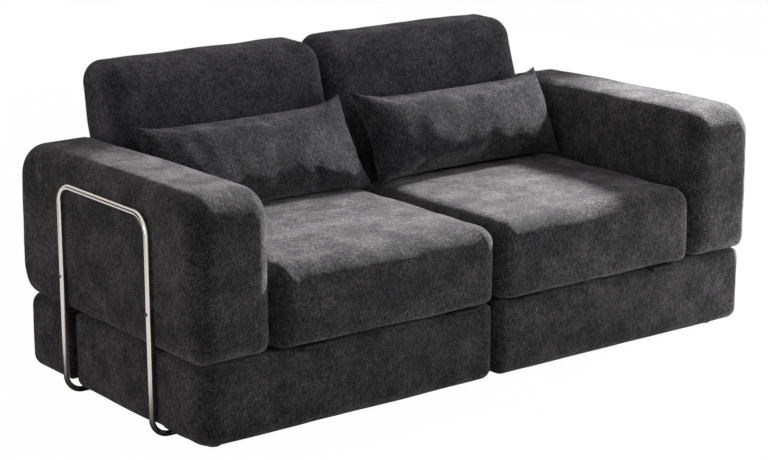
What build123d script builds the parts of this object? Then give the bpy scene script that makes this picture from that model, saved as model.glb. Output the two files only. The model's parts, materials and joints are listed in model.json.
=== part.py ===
from build123d import *
import os
from math import cos, radians, sin

# Folding sofa bed of two mirrored modules. Each seat flips forward onto the floor
# and each back lies down behind, so that the three soft blocks make one level bed.
# Millimetres, +X right, +Y to the rear, +Z up, origin on the floor at the middle.
# Every piece is built on the left (-X) and mirrored to the right.

# Whole sofa
arm_span = 1900.0  # between the outer faces of the two arms
overall_depth = 970.0  # seat front to the rear of the upright backs
ground_gap = 15.5  # floor to the underside of the base
base_rise = 210.5
seat_rise = 209.0
arm_rise = 417.0
block_gap = 5.0  # between the base's top and the seat's or arm's underside
module_gap = 10.0
side_gap = 3.0  # between a moving cushion and the arm or rear block beside it
lean_angle = 18.1  # of the upright back, from vertical
touch_gap = 0.3  # between pieces that rest on each other

# Blocks
arm_width = 231.0
arm_rear_setback = 58.0  # the upright back stands out behind the arm
seat_over_arm = 5.0  # seat front ahead of the arm's front
seat_over_base = 14.0
base_side_setback = 16.0
rear_block_setback = 11.0
base_side_overhang = 42.0  # the base's side under the arm, behind its middle
rear_slot_width = 37.0  # groove between the base's side and the rear block
front_block_depth = 211.0
front_slot_width = 30.0  # groove in the base's side, behind the front block
front_slot_depth = 32.0
front_leg_setback = 205.5
rear_leg_setback = 43.0  # behind the base's middle
seat_back_gap = 6.0

# Rounding: wadding under the cloth rounds each block over a square core
base_edge = 40.0
base_top_edge = 20.0
rear_block_edge = 40.0
arm_edge = 57.0
arm_corner = 87.0
arm_low_corner = 58.0  # at the bottom of the front
seat_edge = 55.0
seat_bottom_edge = 24.0
seat_rear_relief = 30.0  # slope under the rear edge, over the back's hinges
back_edge = 56.0
wadding_share = 0.5  # of the edge radius
arm_wadding_share = 0.4  # of the arm's corner radius
seat_crown = 8.0
arm_crown = 5.0
back_crown = 5.0
front_bow = 3.0

# Back block, in its own leaning directions
back_face_length = 628.0  # along the front face from the hinge axis
back_thickness = 208.0
back_top_thickness = 162.0
back_top_rise = 54.0  # rear top corner above the front top corner, along the lean
back_bend_share = 0.74  # height where the rear starts to turn upright
back_bend_radius = 300.0

# Hinges
plate_thickness = 3.0
plate_gap = 3.0
hinge_width = 60.0
hinge_shares = (0.16, 0.84)  # of the cushion's width

# Worked out places
arm_outer_x = -arm_span / 2
arm_inner_x = arm_outer_x + arm_width
cushion_x = arm_inner_x + side_gap
centre_x = -module_gap / 2
cushion_width = centre_x - cushion_x
base_x = arm_outer_x + base_side_setback
base_top = ground_gap + base_rise
seat_bottom = base_top + block_gap
seat_top = seat_bottom + seat_rise
arm_top = seat_bottom + arm_rise
fold_z = base_top + block_gap / 2
sin_lean = sin(radians(lean_angle))
cos_lean = cos(radians(lean_angle))
back_rear_length = back_face_length + back_top_rise
seat_front_y = -overall_depth / 2
back_reach = back_rear_length * sin_lean + back_top_thickness * cos_lean
back_axis_y = overall_depth / 2 - back_reach + plate_gap
hinge_gap = plate_thickness + plate_gap
arm_front_y = seat_front_y + seat_over_arm
arm_rear_y = overall_depth / 2 - arm_rear_setback
base_front_y = seat_front_y + seat_over_base
base_rear_y = back_axis_y - hinge_gap
base_side_rear_y = base_rear_y + base_side_overhang
rear_block_front_y = base_side_rear_y + rear_slot_width
rear_block_rear_y = arm_rear_y - rear_block_setback
front_leg_y = arm_front_y + front_leg_setback
rear_leg_y = base_rear_y + rear_leg_setback
seat_axis_y = (seat_front_y + base_front_y) / 2 - plate_gap
base_wadding = base_edge * wadding_share
seat_wadding = seat_edge * wadding_share
back_wadding = back_edge * wadding_share
arm_wadding = arm_corner * arm_wadding_share
hinge_places = [cushion_x + share * cushion_width for share in hinge_shares]

os.makedirs("parts", exist_ok=True)


def save(piece, name):
    piece.label = name
    export_step(piece, "parts/" + name + ".step")


def save_pair(piece, name):
    # the piece as built is the left one, its mirror image is the right one
    with BuildPart() as twin:
        mirror(piece, about=Plane.YZ)
    save(piece, name + "_left")
    save(twin.part, name + "_right")


def side_plane(x):
    # looking along X: first direction to the rear, second up
    return Plane.YZ.offset(x)


def back_plane(x):
    # from the back's hinge axis: first direction square into the cushion, second up its face
    return Plane(
        origin=(x, back_axis_y, fold_z),
        x_dir=(0, cos_lean, -sin_lean),
        z_dir=(1, 0, 0),
    )


def bowed_middle(start, end, bow):
    # the middle of a side, moved out to the right of its direction
    along = Vector(*end) - Vector(*start)
    outward = Vector(along.Y, -along.X).normalized()
    return (Vector(*start) + Vector(*end)) / 2 + outward * bow


def round_outline(corners, bows, radii):
    # corners run anticlockwise; each side stands out by its bow, each corner is rounded
    with BuildSketch() as outline:
        with BuildLine():
            for start, end, bow in zip(corners, corners[1:] + corners[:1], bows):
                if bow:
                    ThreePointArc(start, bowed_middle(start, end, bow), end)
                else:
                    Line(start, end)
        make_face()
        for corner, radius in zip(corners, radii):
            if radius:
                fillet(outline.vertices().sort_by_distance(Vector(*corner))[0], radius)
    return outline.sketch


def soft_block(plane, outline, width, edge):
    # the outline carried across the width, with both ends rounded over
    with BuildPart() as block:
        with BuildSketch(plane):
            add(outline)
        extrude(amount=width)
        fillet(block.faces().filter_by(Axis.X).edges(), edge)
    return block.part


def seam_block(plane, outline, width, edge, seam_edge, seam_z):
    # as a soft block, but with a tighter edge round the level face that lies in the seam
    def seam_edges(solid):
        level = solid.faces().filter_by(Axis.Z)
        return min(level, key=lambda face: abs(face.center().Z - seam_z)).edges()

    with BuildPart() as block:
        with BuildSketch(plane):
            add(outline)
        extrude(amount=width)
        ends = block.faces().filter_by(Axis.X).edges()
        fillet([each for each in ends if each not in seam_edges(block)], edge)
        fillet(seam_edges(block), seam_edge)
    return block.part


def core_block(plane, corners, inset, width):
    # the square-cornered space inside a block
    with BuildPart() as core:
        with BuildSketch(plane.offset(inset)):
            with BuildLine():
                Polyline(*corners, close=True)
            make_face()
            offset(amount=-inset, kind=Kind.INTERSECTION)
        extrude(amount=width - 2 * inset)
    return core.part


def hollow(outer, inner):
    with BuildPart() as shell:
        add(outer)
        add(inner, mode=Mode.SUBTRACT)
    return shell.part


def joined(pieces):
    with BuildPart() as whole:
        add(pieces)
    return whole.part


def common(first, second):
    with BuildPart() as shared:
        add(first)
        add(second, mode=Mode.INTERSECT)
    return shared.part


def layer(x, width, y, depth, z, height):
    # a plain board or slab given by its low corner and its sizes
    with BuildPart() as slab:
        with BuildSketch(Plane.XY.offset(z)):
            with Locations((x + width / 2, y + depth / 2)):
                Rectangle(width, depth)
        extrude(amount=height)
    return slab.part


def corners_of(front, rear, bottom, top):
    return [(front, bottom), (rear, bottom), (rear, top), (front, top)]


# Base block

base_foam_depth = 50.0
slat_thickness = 8.0
slat_width = 52.0
slat_count = 6
rail_thickness = 22.0


def base_outer():
    # a long block, and a front and a side block that leave a groove between them
    slot_front = base_front_y + front_block_depth
    slot_rear = slot_front + front_slot_width
    inner_x = base_x + front_slot_depth
    side_width = arm_inner_x - side_gap - base_x
    pieces = [
        (inner_x, centre_x - inner_x, base_front_y, base_rear_y),
        (base_x, side_width, base_front_y, slot_front),
        (base_x, side_width, slot_rear, base_side_rear_y),
    ]
    blocks = []
    for x, width, front, rear in pieces:
        corners = corners_of(front, rear, ground_gap, base_top)
        outline = round_outline(corners, [0] * 4, [base_edge, base_edge, 0, 0])
        plane = side_plane(x)
        blocks.append(seam_block(plane, outline, width, base_edge, base_top_edge, base_top))
    return joined(blocks)


def base_pieces():
    core_x = base_x + front_slot_depth
    core_corners = corners_of(base_front_y, base_rear_y, ground_gap, base_top)
    core_width = centre_x - core_x
    core = core_block(side_plane(core_x), core_corners, base_wadding, core_width)
    save_pair(hollow(base_outer(), core), "base_cover")

    x = core_x + base_wadding + touch_gap
    width = centre_x - base_wadding - touch_gap - x
    y = base_front_y + base_wadding + touch_gap
    depth = base_rear_y - base_wadding - touch_gap - y
    bottom = ground_gap + base_wadding + touch_gap
    top = base_top - base_wadding - touch_gap
    foam_z = top - base_foam_depth
    save_pair(layer(x, width, y, depth, foam_z, base_foam_depth), "base_foam")

    slat_z = foam_z - touch_gap - slat_thickness
    pitch = depth / slat_count
    slats = []
    for number in range(slat_count):
        slat_y = y + (number + 0.5) * pitch - slat_width / 2
        slats.append(layer(x, width, slat_y, slat_width, slat_z, slat_thickness))
    save_pair(joined(slats), "base_slats")

    rail_height = slat_z - bottom
    with BuildPart() as frame:
        with BuildSketch(Plane.XY.offset(bottom)):
            with Locations((x + width / 2, y + depth / 2)):
                Rectangle(width, depth)
                Rectangle(
                    width - 2 * rail_thickness, depth - 2 * rail_thickness, mode=Mode.SUBTRACT
                )
                Rectangle(rail_thickness, depth)
        extrude(amount=rail_height)
    save_pair(frame.part, "base_frame")


def rear_block_pieces():
    # the block under the rear of the arm, clear of the back's swing
    inner_x = arm_inner_x - side_gap
    width = inner_x - base_x
    corners = corners_of(rear_block_front_y, rear_block_rear_y, ground_gap, base_top)
    outline = round_outline(corners, [0] * 4, [rear_block_edge] * 4)
    plane = side_plane(base_x)
    inset = rear_block_edge * wadding_share
    core = core_block(plane, corners, inset, width)
    outer = soft_block(plane, outline, width, rear_block_edge)
    save_pair(hollow(outer, core), "rear_block_cover")
    box = core_block(plane, corners, inset + touch_gap, width)
    box_inside = core_block(plane, corners, inset + touch_gap + rail_thickness, width)
    save_pair(hollow(box, box_inside), "rear_block_frame")


# Arm

arm_foam_depth = 38.0
arm_rail_thickness = 24.0


def arm_pieces():
    corners = corners_of(arm_front_y, arm_rear_y, seat_bottom, arm_top)
    radii = [arm_low_corner, arm_corner, arm_corner, arm_corner]
    outline = round_outline(corners, [0, arm_crown, arm_crown, arm_crown], radii)
    plane = side_plane(arm_outer_x)
    outer = soft_block(plane, outline, arm_width, arm_edge)
    save_pair(hollow(outer, core_block(plane, corners, arm_wadding, arm_width)), "arm_cover")

    foam_inset = arm_wadding + touch_gap
    frame_inset = foam_inset + arm_foam_depth
    ring_width = arm_width - 2 * foam_inset

    def ring(inset, thickness):
        # a band of the arm's side outline, as wide as the space inside the cover
        with BuildPart() as band:
            with BuildSketch(plane.offset(foam_inset)):
                with BuildLine():
                    Polyline(*corners, close=True)
                make_face()
                offset(amount=-inset, kind=Kind.INTERSECTION)
            extrude(amount=ring_width)
            with BuildSketch(plane.offset(foam_inset)):
                with BuildLine():
                    Polyline(*corners, close=True)
                make_face()
                offset(amount=-inset - thickness, kind=Kind.INTERSECTION)
            extrude(amount=ring_width, mode=Mode.SUBTRACT)
        return band.part

    save_pair(ring(foam_inset, arm_foam_depth), "arm_foam")
    save_pair(ring(frame_inset + touch_gap, arm_rail_thickness), "arm_frame")


# Seat cushion, a board between two slabs of foam, soft on both sides

seat_board_thickness = 12.0
seat_under_foam = 46.0


def seat_corners():
    # the rear face follows the lean of the back
    face_offset = (block_gap / 2 - seat_back_gap) / cos_lean

    def rear_y(z):
        return back_axis_y + face_offset + (z - fold_z) * sin_lean / cos_lean

    relief_z = seat_bottom + seat_rear_relief
    return [
        (seat_front_y, seat_bottom),
        (rear_y(seat_bottom) - seat_rear_relief, seat_bottom),
        (rear_y(relief_z), relief_z),
        (rear_y(seat_top), seat_top),
        (seat_front_y, seat_top),
    ]


def seat_pieces():
    corners = seat_corners()
    radii = [0, 0, seat_edge, seat_edge, seat_edge]
    outline = round_outline(corners, [0, 0, 0, seat_crown, front_bow], radii)
    plane = side_plane(cushion_x)
    outer = seam_block(
        plane, outline, cushion_width, seat_edge, seat_bottom_edge, seat_bottom
    )
    core = core_block(plane, corners, seat_wadding, cushion_width)
    save_pair(hollow(outer, core), "seat_cover")

    filling = core_block(plane, corners, seat_wadding + touch_gap, cushion_width)
    board_z = seat_bottom + seat_wadding + seat_under_foam

    def slice_of(z, height):
        return common(
            filling,
            layer(cushion_x, cushion_width, seat_front_y, overall_depth, z, height),
        )

    upper_z = board_z + seat_board_thickness + touch_gap
    lower_foam = slice_of(seat_bottom, board_z - touch_gap - seat_bottom)
    upper_foam = slice_of(upper_z, seat_top - upper_z)
    save_pair(joined([lower_foam, upper_foam]), "seat_foam")
    save_pair(slice_of(board_z, seat_board_thickness), "seat_board")


# Back cushion, foam over a wooden ladder frame

back_frame_thickness = 34.0
back_rung_count = 3
back_rail_width = 60.0
pad_radius = 18.0
pad_height = 12.0
pad_height_shares = (0.3, 0.62)  # of the face length, up from the hinge
pad_width_shares = (0.14, 0.86)


def back_corners():
    # measured square into the cushion and up its face
    front = block_gap / 2
    rear = front + back_thickness
    return [
        (front, hinge_gap),
        (rear, hinge_gap),
        (rear, back_rear_length * back_bend_share),
        (front + back_top_thickness, back_rear_length),
        (front, back_face_length),
    ]


def back_pieces():
    corners = back_corners()
    bows = [0, 0, 0, back_crown, back_crown]
    radii = [back_edge, back_edge, back_bend_radius, back_edge, back_edge]
    plane = back_plane(cushion_x)
    outer = soft_block(plane, round_outline(corners, bows, radii), cushion_width, back_edge)
    core = core_block(plane, corners, back_wadding, cushion_width)
    save_pair(hollow(outer, core), "back_cover")

    # the ladder stands against the flat part of the rear, foam fills the rest
    inset = back_wadding + touch_gap
    filling = core_block(plane, corners, inset, cushion_width)
    low = hinge_gap + inset
    height = back_rear_length * back_bend_share - back_wadding - low
    middle = corners[1][0] - inset - back_frame_thickness / 2
    width = cushion_width - 2 * inset
    window = (height - (back_rung_count + 1) * back_rail_width) / back_rung_count
    with BuildPart() as ladder:
        with BuildSketch(back_plane(cushion_x + inset)):
            with Locations((middle, low + height / 2)):
                Rectangle(back_frame_thickness, height)
        extrude(amount=width)
        for rung in range(back_rung_count):
            window_middle = back_rail_width + window / 2 + rung * (window + back_rail_width)
            with BuildSketch(back_plane(cushion_x + inset + back_rail_width)):
                with Locations((middle, low + window_middle)):
                    Rectangle(back_frame_thickness, window)
            extrude(amount=width - 2 * back_rail_width, mode=Mode.SUBTRACT)
    save_pair(ladder.part, "back_frame")

    room_depth = back_frame_thickness + 2 * touch_gap
    with BuildPart() as room:
        with BuildSketch(back_plane(cushion_x)):
            with Locations((middle + back_thickness / 2, low + height / 2)):
                Rectangle(room_depth + back_thickness, height + 2 * back_thickness)
        extrude(amount=cushion_width)
    save_pair(hollow(filling, room.part), "back_foam")

    # pads on the rear, which meet the floor when the back lies flat
    rear_face = Plane(
        origin=back_plane(cushion_x).from_local_coords((corners[1][0], 0, 0)),
        x_dir=(-1, 0, 0),
        z_dir=(0, cos_lean, -sin_lean),
    )
    places = []
    for width_share in pad_width_shares:
        for height_share in pad_height_shares:
            places.append((-width_share * cushion_width, height_share * back_face_length))
    with BuildPart() as pads:
        with BuildSketch(rear_face):
            with Locations(*places):
                Circle(pad_radius)
        extrude(amount=pad_height)
        ends = pads.faces().sort_by(Axis(rear_face.origin, rear_face.z_dir))[-len(places):]
        chamfer(ends.edges(), pad_height / 4)
    save_pair(pads.part, "back_rest_pads")


# Side tube, bent from one length, and what holds it

tube_radius = 7.5
tube_wall = 1.5
tube_clear = 12.0  # tube centre outside the arm's face
tube_top = 578.0
tube_top_bend = 55.0
tube_foot_bend = 48.0
tube_foot_length = 180.0
screw_radius = 3.0
screw_head_radius = 4.5
screw_head_height = 2.5
screw_play = 0.2
screw_rise = 100.0  # of the screws above the seam
screw_end_gap = 0.5
flange_thickness = 3.0
flange_end = 12.0  # of the flange above the screw
tongue_width = 13.0
bracket_length = 190.0
anchor_length = 160.0
anchor_width = 110.0

tube_x = arm_outer_x - tube_clear
tube_foot_x = tube_x + tube_foot_length
tube_outer_x = tube_x - tube_radius
tube_inner_x = tube_x + tube_radius
screw_z = fold_z + screw_rise


def tube_pieces():
    stops = [
        (tube_foot_x, front_leg_y, tube_radius),
        (tube_x, front_leg_y, tube_radius),
        (tube_x, front_leg_y, tube_top),
        (tube_x, rear_leg_y, tube_top),
        (tube_x, rear_leg_y, tube_radius),
        (tube_foot_x, rear_leg_y, tube_radius),
    ]
    bends = [tube_foot_bend, tube_top_bend, tube_top_bend, tube_foot_bend]
    with BuildPart() as tube:
        with BuildLine() as path:
            FilletPolyline(*stops, radius=bends)
        with BuildSketch(Plane(origin=path.line @ 0, z_dir=path.line % 0)):
            Circle(tube_radius)
            Circle(tube_radius - tube_wall, mode=Mode.SUBTRACT)
        sweep()
        with BuildSketch(side_plane(tube_outer_x - tube_wall)):
            with Locations((front_leg_y, screw_z), (rear_leg_y, screw_z)):
                Circle(screw_radius + screw_play)
        extrude(amount=2 * (tube_radius + tube_wall), mode=Mode.SUBTRACT)
    save_pair(tube.part, "side_tube")

    # a plate in the seam joins arm, base and rear block, and its flange rises behind the tube
    flange_x = tube_inner_x + touch_gap
    flange_height = screw_z + flange_end - base_top
    with BuildPart() as brackets:
        for leg_y in (front_leg_y, rear_leg_y):
            with BuildSketch(Plane.XY.offset(base_top)):
                with Locations((flange_x + bracket_length / 2, leg_y)):
                    Rectangle(bracket_length, tongue_width)
                with Locations((flange_x + bracket_length - anchor_width / 2, leg_y)):
                    Rectangle(anchor_width, anchor_length)
            extrude(amount=block_gap)
            with BuildSketch(side_plane(flange_x)):
                with Locations((leg_y, base_top + flange_height / 2)):
                    Rectangle(tongue_width, flange_height)
            extrude(amount=flange_thickness)
        with BuildSketch(side_plane(flange_x)):
            with Locations((front_leg_y, screw_z), (rear_leg_y, screw_z)):
                Circle(screw_radius + screw_play)
        extrude(amount=2 * flange_thickness, mode=Mode.SUBTRACT)
    save_pair(brackets.part, "tube_brackets")

    with BuildPart() as screws:
        for leg_y in (front_leg_y, rear_leg_y):
            with BuildSketch(side_plane(tube_outer_x)):
                with Locations((leg_y, screw_z)):
                    Circle(screw_radius)
            extrude(amount=arm_outer_x - screw_end_gap - tube_outer_x)
            with BuildSketch(side_plane(tube_outer_x)):
                with Locations((leg_y, screw_z)):
                    Circle(screw_head_radius)
            extrude(amount=-screw_head_height)
        heads = screws.faces().filter_by(Axis.X).sort_by(Axis.X)[:2]
        fillet(heads.edges(), screw_head_height / 2)
    save_pair(screws.part, "tube_screws")


# Glides and the plates that join the two modules

glide_radius = 22.0
glide_taper = 3.0
glide_front_setback = 75.0
glide_side_setback = 74.0
glide_inner_setback = 115.0
glide_inner_front = 135.0
glide_rear_setback = 54.0
connector_length = 200.0
connector_width = 42.0
connector_thickness = 3.0
connector_shares = (0.42, 0.9)  # of the base's depth
connector_hole_radius = 3.2


def glides():
    outer_x = base_x + glide_side_setback
    inner_x = centre_x - glide_inner_setback
    front_y = base_front_y + glide_front_setback
    middle_y = base_rear_y - glide_rear_setback
    rear_y = rear_block_rear_y - glide_rear_setback
    places = [
        (outer_x, front_y),
        (inner_x, base_front_y + glide_inner_front),
        (outer_x, middle_y),
        (inner_x, middle_y),
        (outer_x, rear_y),
        (base_x + arm_width - glide_side_setback, rear_y),
    ]
    with BuildPart() as feet:
        for place in places:
            with BuildSketch(Plane.XY.offset(ground_gap)):
                with Locations(place):
                    Circle(glide_radius)
            with BuildSketch(Plane.XY):
                with Locations(place):
                    Circle(glide_radius - glide_taper)
            loft()
    save_pair(feet.part, "glides")


def connectors():
    with BuildPart() as plates:
        base_depth = base_rear_y - base_front_y
        for share in connector_shares:
            y = base_front_y + share * base_depth - connector_width / 2
            with BuildSketch(Plane.XY.offset(ground_gap - connector_thickness)):
                with Locations((0, y)):
                    RectangleRounded(connector_length, connector_width, connector_width / 4)
                    with GridLocations(connector_length * 0.7, connector_width / 2, 2, 2):
                        Circle(connector_hole_radius, mode=Mode.SUBTRACT)
            extrude(amount=connector_thickness)
    save(plates.part, "connector_plates")


# Seat fold hinges: leaves in the seam, knuckles in the groove at the front

seat_leaf_thickness = 2.0
seat_leaf_length = 104.0
knuckle_radius = 4.5
seat_pin_radius = 2.5
bore_play = 0.05
knuckle_play = 0.4
seat_hinge_width = 72.0
leaf_hole_radius = 2.2


def knuckle(x, width, plate_z):
    # one barrel with the web that joins it to its leaf
    web_z = plate_z + seat_leaf_thickness / 2 - fold_z
    with BuildPart() as barrel:
        with BuildSketch(side_plane(x)):
            with Locations((seat_axis_y, fold_z)):
                Circle(knuckle_radius)
                with Locations((knuckle_radius, web_z)):
                    Rectangle(2 * knuckle_radius, seat_leaf_thickness)
                Circle(seat_pin_radius + bore_play, mode=Mode.SUBTRACT)
        extrude(amount=width)
    return barrel.part


def seat_leaf(centre, plate_z, spans):
    plate_y = seat_axis_y + knuckle_radius + plate_gap / 2
    plate_length = seat_leaf_length - knuckle_radius - plate_gap / 2
    barrels = [knuckle(x, width, plate_z) for x, width in spans]
    with BuildPart() as leaf:
        with BuildSketch(Plane.XY.offset(plate_z)):
            with Locations((centre, plate_y + plate_length / 2)):
                Rectangle(seat_hinge_width, plate_length)
                with Locations((0, plate_length / 3)):
                    with GridLocations(seat_hinge_width / 2, plate_length / 5, 2, 1):
                        Circle(leaf_hole_radius, mode=Mode.SUBTRACT)
        extrude(amount=seat_leaf_thickness)
        add(barrels)
    return leaf.part


def seat_hinges():
    third = seat_hinge_width / 3
    base_leaves = []
    seat_leaves = []
    for centre in hinge_places:
        start = centre - seat_hinge_width / 2
        outer_spans = [(start, third), (start + 2 * third, third)]
        inner_span = [(start + third + knuckle_play, third - 2 * knuckle_play)]
        base_leaves.append(seat_leaf(centre, base_top, outer_spans))
        seat_leaves.append(seat_leaf(centre, seat_bottom - seat_leaf_thickness, inner_span))
    save_pair(joined(base_leaves), "seat_hinge_base_leaves")
    save_pair(joined(seat_leaves), "seat_hinge_seat_leaves")

    with BuildPart() as pins:
        for centre in hinge_places:
            with BuildSketch(side_plane(centre - seat_hinge_width / 2)):
                with Locations((seat_axis_y, fold_z)):
                    Circle(seat_pin_radius)
            extrude(amount=seat_hinge_width)
    save_pair(pins.part, "seat_hinge_pins")


# Back fold hinges: a pack of lugs and friction discs squeezed by spring washers

lug_radius = 11.0
lug_thickness = 3.0
disc_thickness = 1.0
disc_radius = 10.0
running_gap = 0.3
bolt_radius = 4.0
bolt_head_radius = 8.0
bolt_head_height = 4.5
nut_height = 6.5
nut_across = 13.0
bolt_tail = 2.0
spring_thickness = 1.2
spring_rise = 1.0
base_plate_height = 92.0
base_plate_drop = 14.0  # plate's top edge below the hinge axis
back_plate_start = 14.0
back_plate_length = 136.0
lug_pitch = lug_thickness + disc_thickness + running_gap
back_lug_steps = (-2, 0, 2)
base_lug_steps = (-1, 1)


def axis_disc(x, thickness, radius, hole=0.0):
    # a disc or ring about the back's hinge axis
    with BuildPart() as disc:
        with BuildSketch(side_plane(x)):
            with Locations((back_axis_y, fold_z)):
                Circle(radius)
                if hole:
                    Circle(hole, mode=Mode.SUBTRACT)
        extrude(amount=thickness)
    return disc.part


def base_hinge_plate(centre):
    neck_length = base_plate_drop + lug_radius
    bore = bolt_bore(centre)
    with BuildPart() as plate:
        with BuildSketch(Plane.XZ.offset(-base_rear_y)):
            with Locations((centre, fold_z - base_plate_drop - base_plate_height / 2)):
                Rectangle(hinge_width, base_plate_height)
        extrude(amount=-plate_thickness)
        for step in base_lug_steps:
            x = centre + step * lug_pitch - lug_thickness / 2
            with BuildSketch(side_plane(x)):
                with Locations((back_axis_y, fold_z)):
                    Circle(lug_radius)
                with Locations((back_axis_y - hinge_gap / 2, fold_z - neck_length / 2)):
                    Rectangle(hinge_gap, neck_length)
            extrude(amount=lug_thickness)
        add(bore, mode=Mode.SUBTRACT)
    return plate.part


def back_hinge_plate(centre):
    bore = bolt_bore(centre)
    with BuildPart() as plate:
        with BuildSketch(back_plane(centre - hinge_width / 2)):
            middle = back_plate_start + back_plate_length / 2
            with Locations((middle, hinge_gap - plate_thickness / 2)):
                Rectangle(back_plate_length, plate_thickness)
        extrude(amount=hinge_width)
        for step in back_lug_steps:
            x = centre + step * lug_pitch - lug_thickness / 2
            with BuildSketch(back_plane(x)):
                Circle(lug_radius)
                with Locations((back_plate_start, hinge_gap / 2)):
                    Rectangle(2 * back_plate_start, hinge_gap)
            extrude(amount=lug_thickness)
        add(bore, mode=Mode.SUBTRACT)
    return plate.part


def bolt_bore(centre):
    return axis_disc(centre - hinge_width / 2, hinge_width, bolt_radius + bore_play)


def hinge_bolt(centre):
    # button head, shank and nut
    pack = 2 * lug_pitch + lug_thickness / 2 + running_gap
    spring_space = 2 * (spring_thickness + spring_rise)
    shank_x = centre - pack - spring_space
    nut_x = centre + pack
    shank = axis_disc(shank_x, nut_x + nut_height + bolt_tail - shank_x, bolt_radius)
    head = axis_disc(shank_x - bolt_head_height, bolt_head_height, bolt_head_radius)
    with BuildPart() as bolt:
        add(shank)
        add(head)
        head_face = bolt.faces().filter_by(Axis.X).sort_by(Axis.X)[0]
        fillet(head_face.edges(), bolt_head_height / 2)
    with BuildPart() as nut:
        with BuildSketch(side_plane(nut_x)):
            with Locations((back_axis_y, fold_z)):
                RegularPolygon(nut_across / 2, 6, major_radius=False)
                Circle(bolt_radius + bore_play, mode=Mode.SUBTRACT)
        extrude(amount=nut_height)
    return bolt.part, nut.part


def hinge_washers(centre):
    # four flat friction discs against the base's lugs, two cone springs under the head
    hole = bolt_radius + bore_play
    beside = lug_thickness / 2
    washers = []
    for step in base_lug_steps:
        for start in (-beside - disc_thickness, beside):
            x = centre + step * lug_pitch + start
            washers.append(axis_disc(x, disc_thickness, disc_radius, hole))
    pack = 2 * lug_pitch + lug_thickness / 2 + running_gap
    rim = spring_thickness + spring_rise
    for start, turn in ((centre - pack, -1), (centre - pack - 2 * rim, 1)):
        with BuildPart() as spring:
            with BuildSketch(Plane.XY.offset(fold_z)):
                with BuildLine():
                    inner = back_axis_y + hole
                    outer = back_axis_y + lug_radius - running_gap
                    Polyline(
                        (start, outer),
                        (start + turn * spring_thickness, outer),
                        (start + turn * rim, inner),
                        (start + turn * spring_rise, inner),
                        close=True,
                    )
                make_face()
            revolve(axis=Axis((0, back_axis_y, fold_z), (1, 0, 0)))
        washers.append(spring.part)
    return washers


def back_hinges():
    base_plates = []
    back_plates = []
    bolts = []
    washers = []
    for centre in hinge_places:
        base_plates.append(base_hinge_plate(centre))
        back_plates.append(back_hinge_plate(centre))
        bolts.extend(hinge_bolt(centre))
        washers.extend(hinge_washers(centre))
    save_pair(joined(base_plates), "back_hinge_base_plates")
    save_pair(joined(back_plates), "back_hinge_back_plates")
    save_pair(joined(bolts), "back_hinge_bolts")
    save_pair(joined(washers), "back_hinge_washers")


# Lumbar pillows, propped on the seat against the back

pillow_length_shares = (0.956, 0.945)  # of the cushion's width
pillow_heights = (290.0, 276.0)
pillow_tilts = (32.0, 24.0)
pillow_thicknesses = (148.0, 168.0)
pillow_seam = 8.0
pillow_cloth = 2.0
pillow_setbacks = (119.0, 108.0)  # bottom edge ahead of the seat's rear top edge
pillow_clearance = 0.5  # over the seat's crown
pillow_station_shares = (-1.0, -0.9, -0.62, -0.3, 0.3, 0.62, 0.9, 1.0)
pillow_height_shares = (1.0, 0.955, 0.925, 0.915, 0.915, 0.925, 0.955, 1.0)
pillow_thickness_shares = (0.06, 0.4, 0.84, 1.0, 1.0, 0.84, 0.4, 0.06)


def seat_surface(y):
    # height of the crowned seat top above its corners, as a flat arc
    front = seat_corners()[4][0]
    rear = seat_corners()[3][0]
    share = (y - (front + rear) / 2) / ((rear - front) / 2)
    return seat_top + seat_crown * (1 - share * share)


def pillow_form(centre, sizes, tilt, inset, seam, ruled):
    # lens sections along X; the ends stay tall and thin, so the sides draw in
    into = (0, cos(radians(tilt)), -sin(radians(tilt)))
    length, height, thickness = sizes
    half_length = length / 2 - seam
    stations = zip(pillow_station_shares, pillow_height_shares, pillow_thickness_shares)
    with BuildPart() as form:
        for place, tall, thick in stations:
            half_height = tall * height / 2 - seam
            half_thickness = thick * thickness / 2 - inset
            origin = (centre[0] + place * half_length, centre[1], centre[2])
            with BuildSketch(Plane(origin=origin, x_dir=into, z_dir=(1, 0, 0))):
                with BuildLine():
                    ThreePointArc((0, -half_height), (half_thickness, 0), (0, half_height))
                    ThreePointArc((0, half_height), (-half_thickness, 0), (0, -half_height))
                make_face()
        loft(ruled=ruled)
    return form.part


def pillow_pieces():
    lengths = [share * cushion_width for share in pillow_length_shares]
    sizes = list(zip(lengths, pillow_heights, pillow_thicknesses))
    for number, (name, side) in enumerate((("left", -1), ("right", 1))):
        size = sizes[number]
        tilt = pillow_tilts[number]
        half_height = size[1] / 2
        rest_y = seat_corners()[3][0] - pillow_setbacks[number]
        rise = pillow_height_shares[1] * half_height * cos(radians(tilt))
        centre = (
            side * (cushion_width / 2 - centre_x),
            rest_y + half_height * sin(radians(tilt)),
            seat_surface(rest_y) + pillow_clearance + rise,
        )
        outer = pillow_form(centre, size, tilt, 0, 0, False)
        inner = pillow_form(centre, size, tilt, pillow_cloth / 2, pillow_seam, True)
        fill_gap = pillow_cloth / 2 + touch_gap
        fill = pillow_form(centre, size, tilt, fill_gap, pillow_seam + pillow_cloth, True)
        save(hollow(outer, inner), "pillow_cover_" + name)
        save(fill, "pillow_fill_" + name)


base_pieces()
rear_block_pieces()
arm_pieces()
seat_pieces()
back_pieces()
tube_pieces()
glides()
connectors()
seat_hinges()
back_hinges()
pillow_pieces()
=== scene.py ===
import json
import math

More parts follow.
